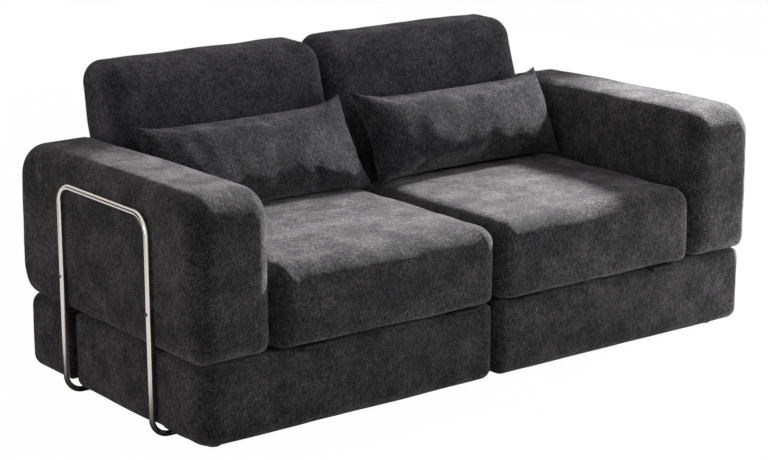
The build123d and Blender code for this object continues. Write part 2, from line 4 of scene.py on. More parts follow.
import bpy
import numpy as np
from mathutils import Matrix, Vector


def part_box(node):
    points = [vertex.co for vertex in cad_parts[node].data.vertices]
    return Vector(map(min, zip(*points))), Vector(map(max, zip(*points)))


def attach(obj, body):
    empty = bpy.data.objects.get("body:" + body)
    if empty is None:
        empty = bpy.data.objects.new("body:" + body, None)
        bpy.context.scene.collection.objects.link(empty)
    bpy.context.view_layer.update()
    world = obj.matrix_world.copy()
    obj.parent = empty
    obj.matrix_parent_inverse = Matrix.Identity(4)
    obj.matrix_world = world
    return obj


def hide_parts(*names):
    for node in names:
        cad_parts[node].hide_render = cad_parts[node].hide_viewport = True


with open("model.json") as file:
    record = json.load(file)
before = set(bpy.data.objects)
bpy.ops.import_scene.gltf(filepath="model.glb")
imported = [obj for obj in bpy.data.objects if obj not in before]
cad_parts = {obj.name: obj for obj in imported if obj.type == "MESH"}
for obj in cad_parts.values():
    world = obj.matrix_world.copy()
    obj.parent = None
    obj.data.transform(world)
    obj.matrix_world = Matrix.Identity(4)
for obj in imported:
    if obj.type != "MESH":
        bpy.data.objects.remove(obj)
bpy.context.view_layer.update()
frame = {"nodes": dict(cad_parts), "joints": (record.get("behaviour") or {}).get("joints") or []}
scene = bpy.context.scene
print("frame loaded")


# Shapes

def edgeSteps(length, radius, cell, edgeCells=7):
    # places from -1 to 1 along a side: even angles round both edges, even cells between
    half = length / 2
    bend = radius * np.tan(np.linspace(0, math.pi / 4, edgeCells + 1))
    middleCount = max(int(round((length - 2 * radius) / cell)), 2)
    middle = np.linspace(-half + radius, half - radius, middleCount + 1)
    high = half - radius + bend[1:]
    places = np.concatenate([-high[::-1], middle, high])
    return places / half


def gridQuads(index):
    # the cells of a grid of point numbers, each as four corners in turn
    cells = [index[:-1, :-1], index[1:, :-1], index[1:, 1:], index[:-1, 1:]]
    return np.stack(cells, -1).reshape(-1, 4)


def cubeGrid(steps):
    # six grids over the faces of a cube, joined where their rims have the same place
    points, quads, start = [], [], 0
    for axis in range(3):
        u, v = (axis + 1) % 3, (axis + 2) % 3
        for side in (-1.0, 1.0):
            a, b = np.meshgrid(steps[u], steps[v], indexing="ij")
            patch = np.empty(a.shape + (3,))
            patch[..., axis], patch[..., u], patch[..., v] = side, a, b
            quad = gridQuads(start + np.arange(a.size).reshape(a.shape))
            quads.append(quad if side > 0 else quad[:, ::-1])
            points.append(patch.reshape(-1, 3))
            start += a.size
    points = np.concatenate(points)
    found, place = np.unique(np.round(points, 7), axis=0, return_inverse=True)
    return found, place.reshape(-1)[np.concatenate(quads)]


def smooth(low, high, value):
    # 3 t^2 - 2 t^3, from 0 at low to 1 at high
    t = np.clip((value - low) / (high - low), 0, 1)
    return t * t * (3 - 2 * t)


def waves(points, reach, seed, count=14):
    # a sum of sine waves in seeded directions, about -1 to 1, with features about as wide
    # as reach
    rng = np.random.default_rng(seed)
    total = np.zeros(len(points))
    for _ in range(count):
        direction = rng.normal(size=3)
        direction *= rng.uniform(0.6, 1.5) / (np.linalg.norm(direction) * reach)
        total += np.sin(points @ direction * math.pi + rng.uniform(0, 2 * math.pi))
    return total / math.sqrt(count)


def roundRect(u, v, halfU, halfV, corner):
    # distance to a rectangle whose corners are rounded; corner may differ from point to point
    qu, qv = np.abs(u) - halfU + corner, np.abs(v) - halfV + corner
    outside = np.hypot(np.maximum(qu, 0), np.maximum(qv, 0))
    return np.minimum(np.maximum(qu, qv), 0) + outside - corner


def roundMeet(first, second, edge):
    # distance to where two solids meet, with the edge between them rounded
    a, b = first + edge, second + edge
    return np.minimum(np.maximum(a, b), 0) + np.hypot(np.maximum(a, 0), np.maximum(b, 0)) - edge


# the layer of a block in which its edges are rounded, how far past it a point is looked
# for, in shares of the layer, and the dents as the reach and share of each kind of wave
blockLook = {
    "layer": 0.06, "layerShare": 0.6, "search": 1.9, "halvings": 26,
    "bowFrom": 0.1, "bowPower": 0.7, "dentWaves": ((0.16, 0.7), (0.06, 0.3)),
}


def paddedBlock(low, high, distance, cell, bows, dents, seed):
    # a cube's grid spread over the box, each point drawn in along its own line until the
    # distance of the rounded form is 0; then each bow, as axis, side and height, swells a
    # face by a share of ((1 - u^2)(1 - v^2))^0.7, and waves dent the block along the lines
    low, high = np.array(low), np.array(high)
    middle, half = (low + high) / 2, (high - low) / 2
    reach = min(blockLook["layer"], half.min() * blockLook["layerShare"])
    steps = [edgeSteps(2 * half[k], reach, cell) for k in range(3)]
    cube, quads = cubeGrid(steps)
    place = cube * half
    inner = np.clip(place, reach - half, half - reach)
    out = place - inner
    out /= np.linalg.norm(out, axis=1)[:, None]
    near, far = np.zeros(len(place)), np.full(len(place), reach * blockLook["search"])
    for _ in range(blockLook["halvings"]):
        mid = (near + far) / 2
        inside = distance(inner + out * mid[:, None], half) < 0
        near, far = np.where(inside, mid, near), np.where(inside, far, mid)
    place = inner + out * near[:, None]
    share = place / half
    for axis, side, amount in bows:
        u, v = (axis + 1) % 3, (axis + 2) % 3
        weight = smooth(blockLook["bowFrom"], 1.0, share[:, axis] * side)
        swell = np.clip((1 - share[:, u] ** 2) * (1 - share[:, v] ** 2), 0, 1)
        place[:, axis] += side * amount * weight * swell ** blockLook["bowPower"]
    place += middle
    (slow, slowShare), (fine, fineShare) = blockLook["dentWaves"]
    depth = waves(place, slow, seed) * slowShare + waves(place, fine, seed + 1) * fineShare
    place += out * (dents * depth)[:, None]
    return place, quads


def makePiece(name, points, quads, material, body):
    # a smooth mesh of four-cornered faces that rides on a body
    mesh = bpy.data.meshes.new(name)
    mesh.vertices.add(len(points))
    mesh.vertices.foreach_set("co", points.astype(np.float32).ravel())
    mesh.loops.add(quads.size)
    mesh.loops.foreach_set("vertex_index", quads.astype(np.int32).ravel())
    mesh.polygons.add(len(quads))
    mesh.polygons.foreach_set("loop_start", np.arange(0, quads.size, 4, dtype=np.int32))
    mesh.polygons.foreach_set("use_smooth", np.ones(len(quads), bool))
    mesh.update(calc_edges=True)
    mesh.validate()
    mesh.materials.append(material)
    piece = bpy.data.objects.new(name, mesh)
    scene.collection.objects.link(piece)
    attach(piece, body)
    return piece


# Materials

def newMaterial(name):
    # the shader and the place in the piece's own metres that every texture starts from
    material = bpy.data.materials.new(name)
    material.use_nodes = True
    tree = material.node_tree
    shader = tree.nodes["Principled BSDF"]
    place = tree.nodes.new("ShaderNodeTexCoord")
    return material, tree, shader, place.outputs["Object"]


def noiseOf(tree, place, scale, detail, rough=0.55, stretch=(1, 1, 1)):
    mapping = tree.nodes.new("ShaderNodeMapping")
    mapping.inputs["Scale"].default_value = stretch
    noise = tree.nodes.new("ShaderNodeTexNoise")
    noise.inputs["Scale"].default_value = scale
    noise.inputs["Detail"].default_value = detail
    noise.inputs["Roughness"].default_value = rough
    tree.links.new(place, mapping.inputs["Vector"])
    tree.links.new(mapping.outputs["Vector"], noise.inputs["Vector"])
    return noise.outputs["Fac"]


def rampOf(tree, value, stops):
    ramp = tree.nodes.new("ShaderNodeValToRGB")
    elements = ramp.color_ramp.elements
    while len(elements) < len(stops):
        elements.new(0.5)
    for element, (at, colour) in zip(elements, stops):
        element.position = at
        element.color = (*colour, 1)
    tree.links.new(value, ramp.inputs["Fac"])
    return ramp.outputs["Color"]


def mixOf(tree, kind, factor, first, second):
    mix = tree.nodes.new("ShaderNodeMix")
    mix.data_type = "RGBA"
    mix.blend_type = kind
    mix.inputs[0].default_value = factor
    tree.links.new(first, mix.inputs[6])
    tree.links.new(second, mix.inputs[7])
    return mix.outputs[2]


def bumpOf(tree, shader, height, strength, distance, before=None):
    bump = tree.nodes.new("ShaderNodeBump")
    bump.inputs["Strength"].default_value = strength
    bump.inputs["Distance"].default_value = distance
    tree.links.new(height, bump.inputs["Height"])
    if before:
        tree.links.new(before, bump.inputs["Normal"])
    tree.links.new(bump.outputs["Normal"], shader.inputs["Normal"])
    return bump.outputs["Normal"]


# each noise of the pile as scale, detail, roughness and stretch
pileLook = {
    "fleck": (240, 4, 0.8),
    "tufts": (105, 5, 0.75, (1.0, 1.0, 0.7)),
    "patches": (11, 5, 0.6),
    "middle": 0.28,
}


def chenille(name, dark, light, sheen):
    # charcoal pile: a salt-and-pepper fleck, tufts of about a finger's width and slow
    # brushed patches; the sheen of the pile follows all three
    material, tree, shader, place = newMaterial(name)
    fleck = noiseOf(tree, place, *pileLook["fleck"])
    tufts = noiseOf(tree, place, *pileLook["tufts"])
    patches = noiseOf(tree, place, *pileLook["patches"])
    share = pileLook["middle"]
    middle = [a * (1 - share) + b * share for a, b in zip(dark, light)]
    colour = rampOf(tree, fleck, [(0.40, dark), (0.51, middle), (0.62, light)])
    shade = rampOf(tree, tufts, [(0.40, (0.42, 0.42, 0.43)), (0.60, (1.0, 1.0, 1.0))])
    brushed = rampOf(tree, patches, [(0.38, (0.70, 0.70, 0.73)), (0.62, (1.0, 0.99, 0.97))])
    colour = mixOf(tree, "MULTIPLY", 1.0, colour, shade)
    colour = mixOf(tree, "MULTIPLY", 1.0, colour, brushed)
    tree.links.new(colour, shader.inputs["Base Color"])
    shader.inputs["Roughness"].default_value = 0.9
    shader.inputs["Specular IOR Level"].default_value = 0.1
    shader.inputs["Sheen Roughness"].default_value = 0.4
    shader.inputs["Sheen Tint"].default_value = (0.95, 0.92, 0.94, 1)
    pile = rampOf(tree, fleck, [(0.40, (sheen * 0.4,) * 3), (0.60, (sheen,) * 3)])
    pile = mixOf(tree, "MULTIPLY", 0.85, pile, shade)
    calm = rampOf(tree, patches, [(0.40, (0.5,) * 3), (0.60, (1.0,) * 3)])
    pile = mixOf(tree, "MULTIPLY", 1.0, pile, calm)
    tree.links.new(pile, shader.inputs["Sheen Weight"])
    first = bumpOf(tree, shader, fleck, 1.0, 0.004)
    bumpOf(tree, shader, tufts, 0.6, 0.006, first)
    return material


def metal(name, colour, roughness, grain=0.0, direction=(1, 1, 1)):
    # fine lines that run along the direction with the small share
    material, tree, shader, place = newMaterial(name)
    lines = noiseOf(tree, place, 600, 2, 0.6, direction)
    tone = rampOf(tree, lines, [(0.3, [0.88 * c for c in colour]), (0.7, colour)])
    tree.links.new(tone, shader.inputs["Base Color"])
    shader.inputs["Metallic"].default_value = 1.0
    shader.inputs["Roughness"].default_value = roughness
    if grain:
        bumpOf(tree, shader, lines, grain, 0.0002)
    return material


def painted(name, colour, roughness, specular=0.5):
    # paint or plastic with a fine grain
    material, tree, shader, place = newMaterial(name)
    specks = noiseOf(tree, place, 900, 3)
    tone = rampOf(tree, specks, [(0.3, colour), (0.7, [1.3 * c for c in colour])])
    tree.links.new(tone, shader.inputs["Base Color"])
    shader.inputs["Roughness"].default_value = roughness
    shader.inputs["Specular IOR Level"].default_value = specular
    bumpOf(tree, shader, specks, 0.25, 0.0004)
    return material


def timber(name, dark, light, along):
    # rings as stretched noise: slow across the board, very slow along it
    material, tree, shader, place = newMaterial(name)
    grain = noiseOf(tree, place, 70, 4, 0.6, along)
    tone = rampOf(tree, grain, [(0.3, dark), (0.55, light), (0.75, [0.9 * c for c in light])])
    tree.links.new(tone, shader.inputs["Base Color"])
    shader.inputs["Roughness"].default_value = 0.62
    bumpOf(tree, shader, grain, 0.2, 0.0008)
    return material


blockCloth = chenille("chenilleBlocks", (0.010, 0.0095, 0.010), (0.120, 0.116, 0.119), 1.0)
# the backs wear a copy of the same chenille, lighter and bluer than the rest: painted light and
# bluish shade on the backs; its fleck is also softer
backClothPaintedLight = chenille("chenilleBacksPaintedLight", (0.027, 0.0265, 0.0295), (0.150, 0.147, 0.162), 1.0)
pillowCloth = chenille("chenillePillows", (0.011, 0.0106, 0.0118), (0.122, 0.119, 0.127), 0.95)
brushedNickel = metal("brushedNickel", (0.72, 0.68, 0.615), 0.24, 0.15, (1, 1, 0.05))
zinc = metal("zincPlate", (0.55, 0.56, 0.58), 0.35)
blackSteel = painted("blackSteel", (0.02, 0.02, 0.022), 0.45)
# hinge leaves and pins in a dull dark grey like the cloth's shade in the seam they sit in, so that
# they read as the seam's shadow: painted seam shade
hingeSeamShade = painted("hingeSeamShade", (0.036, 0.035, 0.036), 0.95, 0.05)
blackScrew = painted("blackScrew", (0.015, 0.015, 0.015), 0.3)
glidePlastic = painted("glidePlastic", (0.018, 0.018, 0.019), 0.5)
pine = timber("pineRail", (0.42, 0.27, 0.14), (0.62, 0.45, 0.27), (0.12, 1, 1))
birchSlat = timber("birchSlat", (0.5, 0.36, 0.22), (0.7, 0.55, 0.38), (0.08, 1, 1))
plyBoard = timber("plyBoard", (0.45, 0.32, 0.18), (0.64, 0.49, 0.31), (0.15, 0.6, 4))

# the parts that are shown as they were packed, by kind
nodeFinish = {
    "side_tube": brushedNickel,
    "tube_brackets": blackSteel,
    "tube_screws": blackScrew,
    "glides": glidePlastic,
    "back_rest_pads": glidePlastic,
    "connector_plates": blackSteel,
    # the hinge parts take the painted seam shade
    "seat_hinge_base_leaves": hingeSeamShade,
    "seat_hinge_seat_leaves": hingeSeamShade,
    "seat_hinge_pins": hingeSeamShade,
    "back_hinge_base_plates": blackSteel,
    "back_hinge_back_plates": blackSteel,
    "back_hinge_bolts": zinc,
    "back_hinge_washers": zinc,
    "base_frame": pine,
    "rear_block_frame": pine,
    "arm_frame": pine,
    "back_frame": pine,
    "base_slats": birchSlat,
    "seat_board": plyBoard,
}
for nodeName, node in frame["nodes"].items():
    kind = nodeName.removesuffix("_left").removesuffix("_right")
    if kind in nodeFinish:
        node.data.materials.clear()
        node.data.materials.append(nodeFinish[kind])
print("materials made")


# Cloth

def inflate(points, quads, look):
    # Blender's cloth: pressure inside, no gravity, and no point moves further than the cap
    mesh = bpy.data.meshes.new("clothShape")
    mesh.from_pydata(points.tolist(), [], quads.tolist())
    shape = bpy.data.objects.new("clothShape", mesh)
    scene.collection.objects.link(shape)
    cloth = shape.modifiers.new("cloth", "CLOTH")
    settings = cloth.settings
    settings.quality = 5
    settings.mass = look["mass"]
    settings.tension_stiffness = settings.compression_stiffness = look["stiffness"]
    settings.shear_stiffness = look["stiffness"] / 2
    settings.bending_stiffness = look["bend"]
    settings.use_pressure = True
    settings.uniform_pressure_force = look["pressure"]
    settings.effector_weights.gravity = 0
    cloth.collision_settings.use_collision = False
    cloth.point_cache.frame_start = 1
    cloth.point_cache.frame_end = look["frames"]
    for step in range(1, look["frames"] + 1):
        scene.frame_set(step)
    grown = shape.evaluated_get(bpy.context.evaluated_depsgraph_get())
    grownMesh = grown.to_mesh()
    places = np.empty(len(points) * 3, np.float32)
    grownMesh.vertices.foreach_get("co", places)
    grown.to_mesh_clear()
    bpy.data.objects.remove(shape)
    bpy.data.meshes.remove(mesh)
    scene.frame_set(1)
    move = places.reshape(-1, 3).astype(float) - points
    length = np.linalg.norm(move, axis=1)[:, None]
    return points + move * np.minimum(1, look["cap"] / np.maximum(length, 1e-9))


# Blocks

jointPlaces = {joint["name"]: joint for joint in frame["joints"]}
foldRange = jointPlaces["back_left_fold"]["range_deg"]
lean = math.radians(90 - max(foldRange))
backAxis = np.array(jointPlaces["back_left_fold"]["pos_m"])

# the width of a face, coarser on the cushions, whose faces are divided once more
cell = 0.008
cushionCell = 0.018
cushionCloths = {
    "frames": 14, "pressure": 3.0, "stiffness": 15.0, "bend": 0.4, "mass": 0.25,
    "cap": 0.005, "over": 0.0005,
}


def blowUp(points, quads):
    # swells the form as cloth and fits it back to a hair over its size
    grown = inflate(points, quads, cushionCloths)
    low = points.min(0) - cushionCloths["over"]
    high = points.max(0) + cushionCloths["over"]
    return low + (grown - grown.min(0)) * (high - low) / np.ptp(grown, axis=0)


def refine(piece):
    # each face divided once and smoothed
    finer = piece.modifiers.new("finer", "SUBSURF")
    finer.levels = finer.render_levels = 1


def boxOf(nodeName):
    low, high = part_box(nodeName)
    return np.array(low), np.array(high)


# radii of the edges and upright corners; the bottom edge changes from its front to its
# rear radius between two distances from the front
baseLook = {
    "top": 0.018, "bottom": 0.033, "sideBottom": 0.027, "changeFrom": 0.09, "changeTo": 0.14,
    "corner": 0.055, "rightCorner": 0.036, "groove": 0.014, "inner": 0.034,
    "floorEdge": 0.007, "bow": 0.003, "dents": 0.0010, "seed": 11,
}
# the blocks of a base: the middle one starts behind the front's face and lacks a hair
# above and below
baseBlocks = {
    "frontDepth": 0.211, "grooveWidth": 0.030, "grooveDepth": 0.019, "sideWidth": 0.212,
    "overhang": 0.042, "behind": 0.10, "thin": 0.0005,
}
rearLook = {
    "edge": 0.034, "corner": 0.044, "seam": 0.014, "bow": 0.003, "dents": 0.0010, "seed": 17,
}


def baseForm(corners, bottoms, top):
    # corners in the order left front, right front, left rear, right rear, and bottoms from
    # front to rear
    def distance(place, half):
        x, y, z = place.T
        front = np.where(x < 0, corners[0], corners[1])
        rear = np.where(x < 0, corners[2], corners[3])
        plan = roundRect(x, y, half[0], half[1], np.where(y < 0, front, rear))
        change = smooth(baseLook["changeFrom"], baseLook["changeTo"], y + half[1])
        bottom = bottoms[0] + (bottoms[1] - bottoms[0]) * change
        edge = np.where(z > 0, top, bottom)
        return roundMeet(plan, np.abs(z) - half[2], edge)
    return distance


def basePiece(side):
    # three blocks in one cover: the whole front, the side behind the groove, and the
    # middle, thinner so that no two faces lie in one plane; each block's corners are
    # listed from the outer side inwards
    low, high = boxOf("base_cover_" + side)
    sign = -1 if side == "left" else 1
    outerX, innerX = (low[0], high[0]) if sign < 0 else (high[0], low[0])
    grooveX = outerX - sign * baseBlocks["grooveDepth"]
    sideX = outerX - sign * baseBlocks["sideWidth"]
    grooveFront = low[1] + baseBlocks["frontDepth"]
    grooveRear = grooveFront + baseBlocks["grooveWidth"]
    middleFront = low[1] + baseBlocks["behind"]
    middleRear = high[1] - baseBlocks["overhang"]
    groove, inner, sideBottom = baseLook["groove"], baseLook["inner"], baseLook["sideBottom"]
    blocks = [
        {
            "x": (outerX, innerX), "y": (low[1], grooveFront), "thin": 0.0,
            "front": (baseLook["corner" if side == "left" else "rightCorner"], inner),
            "rear": (groove, groove), "bottoms": (baseLook["bottom"], sideBottom),
        },
        {
            "x": (outerX, sideX), "y": (grooveRear, high[1]), "thin": 0.0,
            "front": (groove, groove),
            "rear": (groove, groove), "bottoms": (sideBottom, sideBottom),
        },
        {
            "x": (grooveX, innerX), "y": (middleFront, middleRear), "thin": baseBlocks["thin"],
            "front": (groove, groove),
            "rear": (groove, inner), "bottoms": (baseLook["floorEdge"],) * 2,
        },
    ]
    allPoints, allQuads, start = [], [], 0
    bows = [(0, sign, baseLook["bow"])]
    for block in blocks:
        lowEnd = (min(block["x"]), block["y"][0], low[2] + block["thin"])
        highEnd = (max(block["x"]), block["y"][1], high[2] - block["thin"])
        corners = block["front"][::-sign] + block["rear"][::-sign]
        form = baseForm(corners, block["bottoms"], baseLook["top"])
        dents, seed = baseLook["dents"], baseLook["seed"]
        points, quads = paddedBlock(lowEnd, highEnd, form, cell, bows, dents, seed)
        allPoints.append(points)
        allQuads.append(quads + start)
        start += len(points)
    points, quads = np.concatenate(allPoints), np.concatenate(allQuads)
    piece = makePiece("baseBlock_" + side, points, quads, blockCloth, "base")
    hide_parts("base_cover_" + side, "base_foam_" + side)


def rearBlockPiece(side):
    # one block with tight corners at the base and wide ones at the rear
    low, high = boxOf("rear_block_cover_" + side)
    look = rearLook
    form = baseForm((look["seam"],) * 2 + (look["corner"],) * 2, (look["edge"],) * 2, look["edge"])
    bows = [(0, -1 if side == "left" else 1, look["bow"]), (1, 1, look["bow"])]
    points, quads = paddedBlock(low, high, form, cell, bows, look["dents"], look["seed"])
    piece = makePiece("rearBlock_" + side, points, quads, blockCloth, "base")
    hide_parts("rear_block_cover_" + side)


# "blend" is the band about the middle in which the low front corner takes over, in shares
# of the half, "underTo" where the edge under the arm is in full, and "sinkBack" and
# "sinkUp" are where the sinking starts, in shares of the whole
armLook = {
    "edge": 0.057, "low": 0.034, "corner": 0.087, "frontLow": 0.046, "blend": 0.2,
    "underTo": 0.6, "least": 0.001, "bow": 0.003, "dents": 0.0012, "slack": 0.004,
    "sink": 0.010, "sinkBack": 0.2, "sinkUp": 0.3, "seed": 23,
}


def armForm(place, half):
    # the side's outline has large corners but for the low one at the front; the edge to
    # the ends is tight under the arm, where the line to the bottom is the shorter one
    x, y, z = place.T
    blend = armLook["blend"]
    lowFront = smooth(-blend, blend, -y / half[1]) * smooth(-blend, blend, -z / half[2])
    corner = armLook["corner"] + (armLook["frontLow"] - armLook["corner"]) * lowFront
    outline = roundRect(y, z, half[1], half[2], corner)
    toSide = np.clip(half[1] - np.abs(y), armLook["least"], None)
    toBottom = np.clip(half[2] + z, armLook["least"], None)
    under = toSide ** 2 / (toSide ** 2 + toBottom ** 2)
    under *= smooth(0.0, armLook["underTo"], -z / half[2])
    edge = armLook["edge"] + (armLook["low"] - armLook["edge"]) * under
    return roundMeet(outline, np.abs(x) - half[0], edge)


def armPiece(side):
    # a little slimmer than its space at the inner side, and sunk by a share towards the
    # rear of the top
    low, high = boxOf("arm_cover_" + side)
    look = armLook
    inner = 1 if side == "left" else -1
    (high if side == "left" else low)[0] -= inner * look["slack"]
    bows = [(0, inner, look["bow"]), (2, 1, look["bow"]), (1, -1, look["bow"])]
    points, quads = paddedBlock(low, high, armForm, cell, bows, look["dents"], look["seed"])
    share = (points - low) / (high - low)
    sunk = smooth(look["sinkBack"], 1.0, share[:, 1]) * smooth(look["sinkUp"], 1.0, share[:, 2])
    points[:, 1] -= look["sink"] * sunk
    points[:, 2] -= look["sink"] * sunk
    piece = makePiece("armBlock_" + side, points, quads, blockCloth, "base")
    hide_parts("arm_cover_" + side, "arm_foam_" + side)


# "front" and "under" are what the grid lacks at the front and top, which the bows make up,
# and "over" what it has more at the rear
seatLook = {
    "edge": 0.052, "top": 0.050, "bottom": 0.016, "crown": 0.010, "frontBow": 0.004,
    "sideBow": 0.002, "front": 0.003, "under": 0.004, "over": 0.012, "dents": 0.0018,
    "seeds": {"left": 31, "right": 37},
}


def seatForm(place, half):
    # upright corners of one radius, a soft top edge and a tight bottom edge
    x, y, z = place.T
    plan = roundRect(x, y, half[0], half[1], seatLook["edge"])
    edge = np.where(z > 0, seatLook["top"], seatLook["bottom"])
    return roundMeet(plan, np.abs(z) - half[2], edge)


def seatPiece(side):
    # the block leans by the back's slope times the square of the share of the way from the
    # front to the rear
    low, high = boxOf("seat_cover_" + side)
    look = seatLook
    lowRear = high[1] - (high[2] - low[2]) * math.tan(lean) + look["over"]
    start = (low[0], low[1] + look["front"], low[2])
    end = (high[0], lowRear, high[2] - look["under"])
    bows = [
        (2, 1, look["crown"]), (1, -1, look["frontBow"]),
        (0, -1, look["sideBow"]), (0, 1, look["sideBow"]),
    ]
    seed = look["seeds"][side]
    points, quads = paddedBlock(start, end, seatForm, cushionCell, bows, look["dents"], seed)
    points = blowUp(points, quads)
    share = np.clip((points[:, 1] - low[1]) / (lowRear - low[1]), 0, 1)
    points[:, 1] += share ** 2 * (points[:, 2] - low[2]) * math.tan(lean)
    name, body = "seatCushion_" + side, "seat_" + side
    piece = makePiece(name, points, quads, blockCloth, body)
    refine(piece)
    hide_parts("seat_cover_" + side, "seat_foam_" + side)


# sizes along the face and through the cushion; "rise" is how much higher its rear ends,
# and the taper starts at the bend, a share of the length, between the two distances
backLook = {
    "length": 0.628, "thick": 0.208, "topThick": 0.162, "rise": 0.054, "start": 0.006,
    "front": 0.0025, "edge": 0.056, "bend": 0.74, "below": 0.12, "above": 0.1, "most": 1.1,
    "crown": 0.007, "topBow": 0.006, "sideBow": 0.0025, "dents": 0.0018,
    "seeds": {"left": 41, "right": 47},
}


def backForm(place, half):
    # a slab with wide corners in its face and an edge of the same radius round it
    x, y, z = place.T
    outline = roundRect(x, z, half[0], half[2], backLook["edge"])
    return roundMeet(outline, np.abs(y) - half[1], backLook["edge"])


def backPiece(side):
    # made upright: X across, Y through the thickness, Z up the face; then the rear
    # tapers above the bend, the top slants, and the whole turns to the lean
    low, high = boxOf("back_cover_" + side)
    look = backLook
    start = (low[0], 0.0, look["start"])
    end = (high[0], look["thick"], look["length"])
    bows = [
        (1, -1, look["crown"]), (2, 1, look["topBow"]),
        (0, -1, look["sideBow"]), (0, 1, look["sideBow"]),
    ]
    seed = look["seeds"][side]
    points, quads = paddedBlock(start, end, backForm, cushionCell, bows, look["dents"], seed)
    points = blowUp(points, quads)
    through, up = points[:, 1], points[:, 2]
    up = up * (1 + look["rise"] / look["length"] * np.clip(through / look["thick"], 0, 1))
    full = look["length"] + look["rise"]
    bendFrom = full * look["bend"]
    taper = smooth(bendFrom - look["below"], bendFrom + look["above"], up) * (up - bendFrom)
    thinned = np.clip(taper / (full - bendFrom), 0, look["most"])
    through = through * (1 - (1 - look["topThick"] / look["thick"]) * thinned) + look["front"]
    points[:, 1] = backAxis[1] + through * math.cos(lean) + up * math.sin(lean)
    points[:, 2] = backAxis[2] - through * math.sin(lean) + up * math.cos(lean)
    name, body = "backCushion_" + side, "back_" + side
    # the lighter, bluer copy of the chenille is painted light and bluish shade on the back
    piece = makePiece(name, points, quads, backClothPaintedLight, body)
    refine(piece)
    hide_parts("back_cover_" + side, "back_foam_" + side)


for side in ("left", "right"):
    basePiece(side)
    rearBlockPiece(side)
    armPiece(side)
    seatPiece(side)
    backPiece(side)
print("blocks and cushions made")


# Lumbar pillows

pillowLook = {
    "left": {
        "tilt": 32.0, "length": 0.686, "height": 0.290, "thick": 0.142, "seed": 53,
        "ears": {(-1, 1): (-0.004, 0.004), (1, 1): (0.000, 0.010), (1, -1): (0.014, -0.006)},
    },
    "right": {
        "tilt": 24.0, "length": 0.680, "height": 0.274, "thick": 0.158, "seed": 59,
        "ears": {(-1, 1): (-0.018, 0.012), (1, 1): (-0.006, 0.009), (1, -1): (0.006, 0.0)},
    },
}
pillowCloths = {
    "frames": 20, "pressure": 3.0, "stiffness": 12.0, "bend": 0.1, "mass": 0.25, "cap": 0.018,
}
# of the size before it is blown up: "start" is the thickness as a share of the last one, and
# "draw" and "fill" hold a share or powers across and up the pillow
pillowForm = {
    "start": 0.84, "ease": 0.4, "fill": (3.4, 2.4, 0.62), "drawSides": (0.020, 1.5),
    "drawEnds": (0.050, 0.7), "creases": 0.0014, "creaseReach": 0.045, "earReach": 0.07,
}


def easedSteps(count):
    # places from -1 to 1, closer to each other at the ends
    even = np.linspace(-1, 1, count + 1)
    ease = pillowForm["ease"]
    return np.sin(even * math.pi / 2) * ease + even * (1 - ease)


def pillowSheets(look):
    # two sheets sewn at the rim: each side draws in by a share of (1 - v^2), and the filling
    # is a power of the product of (1 - u^p) and (1 - v^q), thin at the rim
    form = pillowForm
    count = ((104, 46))
    across, up = np.meshgrid(easedSteps(count[0]), easedSteps(count[1]), indexing="ij")
    powerU, powerV, rounding = form["fill"]
    fill = (1 - np.abs(across) ** powerU) * (1 - np.abs(up) ** powerV)
    fill = np.clip(fill, 0, 1) ** rounding
    sideDraw, sidePower = form["drawSides"]
    endDraw, endPower = form["drawEnds"]
    x = across * look["length"] / 2 * (1 - sideDraw * (1 - up ** 2) ** sidePower)
    z = up * look["height"] / 2 * (1 - endDraw * (1 - across ** 2) ** endPower)
    flat = np.stack([x, np.zeros_like(x), z], -1).reshape(-1, 3)
    creases = waves(flat, form["creaseReach"], look["seed"]) * form["creases"]
    creases = creases.reshape(x.shape)
    thick = look["thick"] * form["start"] / 2
    sheets = [np.stack([x, turn * thick * fill + creases, z], -1) for turn in (-1, 1)]
    front = np.arange(x.size).reshape(x.shape)
    rim = np.zeros(x.shape, bool)
    rim[0, :] = rim[-1, :] = True
    rim[:, 0] = rim[:, -1] = True
    rear = np.where(rim, front, front + x.size)
    points = np.concatenate([sheet.reshape(-1, 3) for sheet in sheets])
    quads = np.concatenate([gridQuads(front), gridQuads(rear)[:, [0, 3, 2, 1]]])
    used, place = np.unique(quads, return_inverse=True)
    return points[used], place.reshape(quads.shape)


def pillowPiece(side):
    # the sheets are blown up as cloth and fitted to their size, and each ear is drawn out by
    # a share of exp(-d^2 / r^2), d being the distance from its corner; then the pillow tilts
    look = pillowLook[side]
    low, high = boxOf("pillow_cover_" + side)
    centre = (low + high) / 2
    points, quads = pillowSheets(look)
    points = inflate(points, quads, pillowCloths)
    points -= (points.min(0) + points.max(0)) / 2
    points *= np.array([look["length"], look["thick"], look["height"]]) / np.ptp(points, axis=0)
    for (sideX, sideZ), (moveX, moveZ) in look["ears"].items():
        corner = np.array([sideX * look["length"] / 2, 0, sideZ * look["height"] / 2])
        weight = np.exp(-np.sum(((points - corner) / pillowForm["earReach"]) ** 2, axis=1))
        points[:, 0] += moveX * weight
        points[:, 2] += moveZ * weight
    tilt = math.radians(look["tilt"])
    turned = points.copy()
    turned[:, 1] = points[:, 1] * math.cos(tilt) + points[:, 2] * math.sin(tilt)
    turned[:, 2] = -points[:, 1] * math.sin(tilt) + points[:, 2] * math.cos(tilt)
    points = turned + centre
    name, body = "lumbarPillow_" + side, "pillow_" + side
    piece = makePiece(name, points, quads, pillowCloth, body)
    refine(piece)
    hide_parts("pillow_cover_" + side, "pillow_fill_" + side)


for side in ("left", "right"):
    pillowPiece(side)
print("pillows made")


# Floor, light and camera

